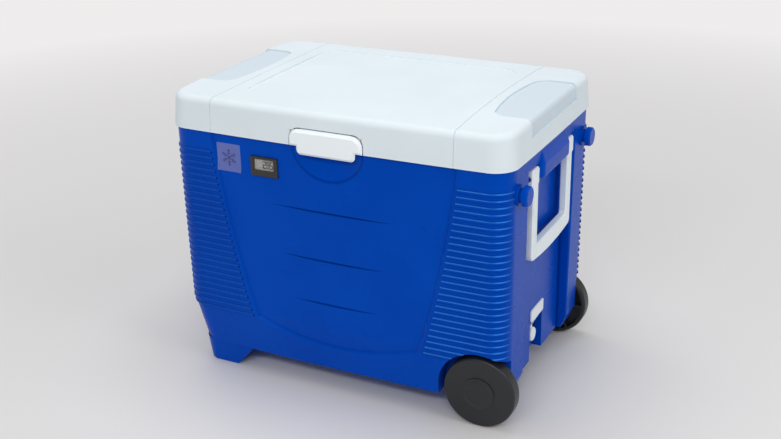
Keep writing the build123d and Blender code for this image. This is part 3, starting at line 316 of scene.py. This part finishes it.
# ---- Wheels ----------------------------------------------------------------------
# Charcoal filled nylon with a closed outer face and a snap-in cap over the axle's end.
# Its sharp edges are worn to grey.

wheel_tones = ((0.013, 0.014, 0.016), (0.021, 0.022, 0.024))
wheel_charcoal = moulded_plastic("WheelCharcoal", *wheel_tones, 700.0, 0.2, (0.3, 0.42), 0.4)
rub_edges(wheel_charcoal, (0.08, 0.085, 0.09), 0.4)
wear(["wheel_front", "wheel_rear", "hub_cap_front", "hub_cap_rear"], wheel_charcoal)

# ---- Axle, pins and screws ---------------------------------------------------------
# Brushed stainless bar and pins, drawn along their length.
# The handles' pins are a paler steel.


def brushed_steel(name, colour, scale):
    """Drawn steel: fine streaks in tone and gloss."""
    material, nodes, links = new_material(name)
    shader = nodes["Principled BSDF"]
    shader.inputs["Metallic"].default_value = 1.0
    place = nodes.new("ShaderNodeTexCoord").outputs["Object"]
    stretch = nodes.new("ShaderNodeMapping")
    stretch.inputs["Scale"].default_value = scale
    links.new(place, stretch.inputs["Vector"])
    streak = noise(nodes, links, stretch.outputs["Vector"], 1.0, 3.0)
    darker = tuple(part * 0.8 for part in colour)
    links.new(mix_colour(nodes, links, darker, colour, streak), shader.inputs["Base Color"])
    links.new(ramp(nodes, links, streak, 0.0, 1.0, 0.22, 0.42), shader.inputs["Roughness"])
    return material


steel_cross = brushed_steel("SteelCross", (0.6, 0.61, 0.62), (900, 30, 900))
steel_long = brushed_steel("SteelLong", (0.6, 0.61, 0.62), (30, 900, 900))
steel_pale = brushed_steel("SteelPale", (0.92, 0.91, 0.89), (300, 30, 300))
wear(["axle", "axle_clips", "temperature_probe"], steel_cross)
wear(["handle_pins_right", "handle_pins_left"], steel_pale)
wear(["hinge_screws_tub", "hinge_screws_lid", "thermometer_battery"], steel_cross)
wear(["latch_pin", "hinge_pin_right", "hinge_pin_left"], steel_long)

# ---- Drain -----------------------------------------------------------------------------
# Black pipe and nut through the wall, closed by the white plug on its tether.
# The plug and the tether are white fittings like the handles.

drain_tones = ((0.010, 0.010, 0.011), (0.018, 0.018, 0.02))
drain_black = moulded_plastic("DrainBlack", *drain_tones, 900.0, 0.1, (0.4, 0.5))
wear(["drain_spout", "drain_nut"], drain_black)

# ---- Thermometer ------------------------------------------------------------------------
# Black bezel and case, clear window, and a warm grey liquid-crystal display behind it.
# The window is thin and lets most of the display through.

bezel_tones = ((0.017, 0.014, 0.013), (0.025, 0.021, 0.019))
bezel_black = moulded_plastic("BezelBlack", *bezel_tones, 1200.0, 0.06, (0.3, 0.4))
wear(["thermometer_bezel", "thermometer_case"], bezel_black)
display_tones = ((0.38, 0.345, 0.315), (0.44, 0.40, 0.36))
display_grey = moulded_plastic("DisplayGrey", *display_tones, 500.0, 0.01, (0.3, 0.35))
wear(["thermometer_display"], display_grey)
window_clear, window_nodes, _ = new_material("WindowClear")
glaze = window_nodes["Principled BSDF"]
glaze.inputs["Base Color"].default_value = (0.9, 0.92, 0.9, 1)
glaze.inputs["Roughness"].default_value = 0.08
glaze.inputs["Alpha"].default_value = 0.22
wear(["thermometer_window"], window_clear)

# ---- Film label ---------------------------------------------------------------------------
# A thin lavender film stuck on the panel beside the thermometer, with a plain snowflake.
# It is a fraction of a millimetre thick, and one corner has begun to lift.

FILM_CELLS = 24
FILM_HALF_X = 0.0224
FILM_HALF_Z = 0.0237
FILM_LIFT = 0.00015
CURL_START = 1.45
CURL_HEIGHT = 0.006
ROUND_START = 1.9
ROUND_SHARE = 0.012
FLAKE_ARM = 0.0145
FLAKE_ARM_WIDTH = 0.0016
FLAKE_ARM_LIFT = 0.0003
FLAKE_FORKS = ((0.006, 0.0042), (0.0103, 0.0036))
FLAKE_FORK_LEAN = (0.77, 0.64)
FLAKE_FORK_WIDTH = 0.0013
FLAKE_FORK_LIFT = 0.00033
STROKE_STEPS = 4

tub_shape = bmesh.new()
tub_shape.from_mesh(node["outer_tub"].data)
tub_surface = BVHTree.FromBMesh(tub_shape)
tub_shape.free()
film_x = lid_middle[0] - 0.1843
film_z = 0.3907


def on_panel(x, z, lift):
    """The point of the front panel at a place, lifted off it by a little."""
    hit = tub_surface.ray_cast(Vector((x, -1, z)), Vector((0, 1, 0)))[0]
    return (x, hit.y - lift, z)


def add_piece(name, mesh_work, material, body):
    """Turns mesh work into a piece that rides on a body."""
    mesh = bpy.data.meshes.new(name)
    mesh_work.to_mesh(mesh)
    mesh_work.free()
    mesh.materials.append(material)
    piece = bpy.data.objects.new(name, mesh)
    bpy.context.scene.collection.objects.link(piece)
    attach(piece, body)


def film():
    """A square sheet laid on the panel, its lower right corner curling away."""
    work = bmesh.new()
    bmesh.ops.create_grid(work, x_segments=FILM_CELLS, y_segments=FILM_CELLS, size=1.0)
    for vert in work.verts:
        across, up = vert.co.x, vert.co.y
        curl = max(0.0, across - up - CURL_START) ** 2 * CURL_HEIGHT
        round_off = 1 - ROUND_SHARE * max(0.0, abs(across) + abs(up) - ROUND_START) * 10
        x = film_x + FILM_HALF_X * across * round_off
        z = film_z + FILM_HALF_Z * up * round_off
        vert.co = on_panel(x, z, FILM_LIFT + curl)
    bmesh.ops.reverse_faces(work, faces=work.faces)
    return work


def stroke(work, start, end, width, lift):
    """A thin printed stroke between two points of the panel."""
    along = (Vector(end) - Vector(start)).normalized()
    side = Vector((-along.y, along.x)) * width / 2
    rows = []
    for step in range(STROKE_STEPS + 1):
        middle = Vector(start).lerp(Vector(end), step / STROKE_STEPS)
        pair = (middle + side, middle - side)
        rows.append([work.verts.new(on_panel(*point, lift)) for point in pair])
    for low, high in zip(rows, rows[1:]):
        work.faces.new((low[0], low[1], high[1], high[0]))


def snowflake():
    """Six arms, each with two pairs of side branches."""
    work = bmesh.new()
    middle = Vector((film_x, film_z))
    for arm in range(6):
        turn = Matrix.Rotation(arm * pi / 3, 2)
        end = middle + turn @ Vector((0, FLAKE_ARM))
        stroke(work, middle, end, FLAKE_ARM_WIDTH, FLAKE_ARM_LIFT)
        for reach, size in FLAKE_FORKS:
            fork = middle + turn @ Vector((0, reach))
            for lean in (-1, 1):
                tip = Vector((lean * size * FLAKE_FORK_LEAN[0], size * FLAKE_FORK_LEAN[1]))
                stroke(work, fork, fork + turn @ tip, FLAKE_FORK_WIDTH, FLAKE_FORK_LIFT)
    bmesh.ops.recalc_face_normals(work, faces=work.faces)
    return work


film_tones = ((0.085, 0.13, 0.42), (0.12, 0.16, 0.47))
film_lavender = moulded_plastic("FilmLavender", *film_tones, 300.0, 0.03, (0.18, 0.3), 0.4)
ink_tones = ((0.045, 0.05, 0.20), (0.07, 0.07, 0.25))
film_ink = moulded_plastic("FilmInk", *ink_tones, 600.0, 0.02, (0.3, 0.4), 0.3)
add_piece("film_label", film(), film_lavender, "carrier")
add_piece("film_snowflake", snowflake(), film_ink, "carrier")

# ---- Display digits ------------------------------------------------------------------------
# Seven-segment figures in the right half of the display, and a thin line at its middle.
# They are dark, as liquid crystal is, and lie on the window.

SEGMENTS = {"2": "abged", "5": "afgcd", "8": "abcdefg"}
PLACES = {
    "a": (0, 2, 1, 2),
    "b": (1, 2, 1, 1),
    "c": (1, 1, 1, 0),
    "d": (0, 0, 1, 0),
    "e": (0, 0, 0, 1),
    "f": (0, 1, 0, 2),
    "g": (0, 1, 1, 1),
}
FIGURES = (("2", -0.0016), ("8", 0.0047), ("5", 0.0110))
FIGURE_LIFT = 0.00004
FIGURE_BASE = 0.0053
SEGMENT_ACROSS = 0.0041
SEGMENT_UP = 0.0054
SEGMENT_HALF = 0.00058
LINE_X = -0.0028
LINE_ENDS = (-0.0015, 0.0110)
LINE_HALF = 0.00018
POINT_X = 0.0099
POINT_HALF = 0.0005

window_low, window_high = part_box("thermometer_window")


def figures():
    """The lit segments of the display."""
    work = bmesh.new()
    face = window_low[1] - FIGURE_LIFT
    middle = (window_low[0] + window_high[0]) / 2
    base = (window_low[2] + window_high[2]) / 2 - FIGURE_BASE

    def bar(x0, z0, x1, z1, half):
        left, right, bottom, top = x0 - half, x1 + half, z0 - half, z1 + half
        corners = ((left, bottom), (right, bottom), (right, top), (left, top))
        work.faces.new([work.verts.new((x, face, z)) for x, z in corners])

    line = middle + LINE_X
    bar(line, base + LINE_ENDS[0], line, base + LINE_ENDS[1], LINE_HALF)
    for figure, left in FIGURES:
        for name in SEGMENTS[figure]:
            x0, z0, x1, z1 = PLACES[name]
            ends_x = [middle + left + SEGMENT_ACROSS * x for x in (x0, x1)]
            ends_z = [base + SEGMENT_UP * z for z in (z0, z1)]
            bar(ends_x[0], ends_z[0], ends_x[1], ends_z[1], SEGMENT_HALF)
    bar(middle + POINT_X, base, middle + POINT_X, base, POINT_HALF)
    return work


segment_tones = ((0.035, 0.036, 0.033), (0.05, 0.05, 0.045))
segment_dark = moulded_plastic("SegmentDark", *segment_tones, 400.0, 0.01, (0.4, 0.5), 0.3)
add_piece("display_digits", figures(), segment_dark, "carrier")

# ---- Screw recesses --------------------------------------------------------------------------
# The cross recess in the head of each hinge screw, drawn as a dark cross of painted shade.
# Each leaf has two screws, at either side of its middle.

SCREW_ASIDE = 0.02
CROSS_LONG = 0.0024
CROSS_THIN = 0.00045
CROSS_LIFT = 0.00003


def crosses(name):
    """A cross of painted shade on the outer face of each screw of a node, for its recess."""
    work = bmesh.new()
    low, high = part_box(name)
    level = (low[2] + high[2]) / 2
    hinge_x = (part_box("hinge_pin_right")[0][0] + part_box("hinge_pin_right")[1][0]) / 2
    other_x = (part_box("hinge_pin_left")[0][0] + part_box("hinge_pin_left")[1][0]) / 2
    for centre in [x + aside for x in (hinge_x, other_x) for aside in (-SCREW_ASIDE, SCREW_ASIDE)]:
        for half_x, half_z in ((CROSS_LONG, CROSS_THIN), (CROSS_THIN, CROSS_LONG)):
            ring = ((-half_x, -half_z), (-half_x, half_z), (half_x, half_z), (half_x, -half_z))
            corners = [(centre + x, high[1] + CROSS_LIFT, level + z) for x, z in ring]
            work.faces.new([work.verts.new(corner) for corner in corners])
    return work


# Painted shade: the recess in each screw head is a dark cross laid on it.
recess_shade_tones = ((0.02, 0.02, 0.021), (0.035, 0.035, 0.036))
recess_shading = moulded_plastic("RecessShade", *recess_shade_tones, 900.0, 0.05, (0.5, 0.6), 0.3)
add_piece("screw_recesses_tub", crosses("hinge_screws_tub"), recess_shading, "carrier")
add_piece("screw_recesses_lid", crosses("hinge_screws_lid"), recess_shading, "lid")

# ---- Studio --------------------------------------------------------------------------------
# A plain pale floor that fades into the backdrop with distance, three soft lamps
# and an even sky.

FLOOR_HALF = 6.0
FLOOR_COLOUR = (0.80, 0.78, 0.755, 1)
FADE = (0.7, 2.6)
BACKDROP = (0.86, 0.845, 0.845, 1)
SKY_COLOUR = (0.93, 0.95, 1.0, 1)
SKY_STRENGTH = 0.48

cove = bmesh.new()
bmesh.ops.create_grid(cove, x_segments=1, y_segments=1, size=FLOOR_HALF)
floor_mesh = bpy.data.meshes.new("Floor")
cove.to_mesh(floor_mesh)
cove.free()
floor = bpy.data.objects.new("Floor", floor_mesh)
bpy.context.scene.collection.objects.link(floor)
floor_paint, floor_nodes, floor_links = new_material("FloorPaint")
floor_shader = floor_nodes["Principled BSDF"]
floor_shader.inputs["Base Color"].default_value = FLOOR_COLOUR
floor_shader.inputs["Roughness"].default_value = 0.6
pale = floor_nodes.new("ShaderNodeEmission")
pale.inputs["Color"].default_value = BACKDROP
distance = floor_nodes.new("ShaderNodeVectorMath")
distance.operation = "LENGTH"
floor_links.new(floor_nodes.new("ShaderNodeTexCoord").outputs["Object"], distance.inputs[0])
far = ramp(floor_nodes, floor_links, distance.outputs["Value"], *FADE)
rays = floor_nodes.new("ShaderNodeLightPath").outputs
seen = compute(floor_nodes, floor_links, "MAXIMUM", rays["Is Camera Ray"], rays["Is Glossy Ray"])
far_and_seen = compute(floor_nodes, floor_links, "MULTIPLY", far, seen)
floor_blend = floor_nodes.new("ShaderNodeMixShader")
floor_links.new(far_and_seen, floor_blend.inputs["Fac"])
floor_links.new(floor_shader.outputs["BSDF"], floor_blend.inputs[1])
floor_links.new(pale.outputs["Emission"], floor_blend.inputs[2])
floor_links.new(floor_blend.outputs["Shader"], floor_nodes["Material Output"].inputs["Surface"])
floor_mesh.materials.append(floor_paint)

sky = bpy.data.worlds.new("Sky")
sky.use_nodes = True
sky_nodes = sky.node_tree.nodes
sky_links = sky.node_tree.links
sky_light = sky_nodes["Background"]
sky_light.inputs["Color"].default_value = SKY_COLOUR
sky_light.inputs["Strength"].default_value = SKY_STRENGTH
backdrop = sky_nodes.new("ShaderNodeBackground")
backdrop.inputs["Color"].default_value = BACKDROP
path = sky_nodes.new("ShaderNodeLightPath")
either = sky_nodes.new("ShaderNodeMixShader")
sky_links.new(path.outputs["Is Camera Ray"], either.inputs["Fac"])
sky_links.new(sky_light.outputs["Background"], either.inputs[1])
sky_links.new(backdrop.outputs["Background"], either.inputs[2])
sky_links.new(either.outputs["Shader"], sky_nodes["World Output"].inputs["Surface"])
bpy.context.scene.world = sky


def soft_lamp(name, place, target, width, height, power):
    """An oblong soft lamp, aimed at a point."""
    light = bpy.data.lights.new(name, "AREA")
    light.shape = "RECTANGLE"
    light.size = width
    light.size_y = height
    light.energy = power
    lamp = bpy.data.objects.new(name, light)
    lamp.location = place
    aim = Vector(target) - Vector(place)
    lamp.rotation_euler = aim.to_track_quat("-Z", "Y").to_euler()
    bpy.context.scene.collection.objects.link(lamp)


soft_lamp("KeyLamp", (0.7, -2.6, 2.2), (0, 0, 0.25), 2.2, 0.3, 30)
soft_lamp("TopLamp", (-0.3, 0.15, 2.5), (-0.3, 0.1, 0.3), 2.0, 1.2, 20.5)
soft_lamp("EndLamp", (2.6, -0.3, 1.9), (0, 0, 0.25), 1.8, 1.2, 16)

CAMERA_TURN = 26.868
CAMERA_TILT = 22.571
CAMERA_ROLL = -1.190

lens = bpy.data.cameras.new("Camera")
lens.lens = 54.38
lens.sensor_width = 36
camera = bpy.data.objects.new("Camera", lens)
camera.location = (0.84873, -1.67425, 1.02090)
turn = Matrix.Rotation(radians(CAMERA_TURN), 4, "Z")
tilt = Matrix.Rotation(radians(90 - CAMERA_TILT), 4, "X")
roll = Matrix.Rotation(radians(CAMERA_ROLL), 4, "Z")
camera.rotation_euler = (turn @ tilt @ roll).to_euler()
bpy.context.scene.collection.objects.link(camera)
bpy.context.scene.camera = camera
bpy.context.scene.view_settings.view_transform = "Standard"
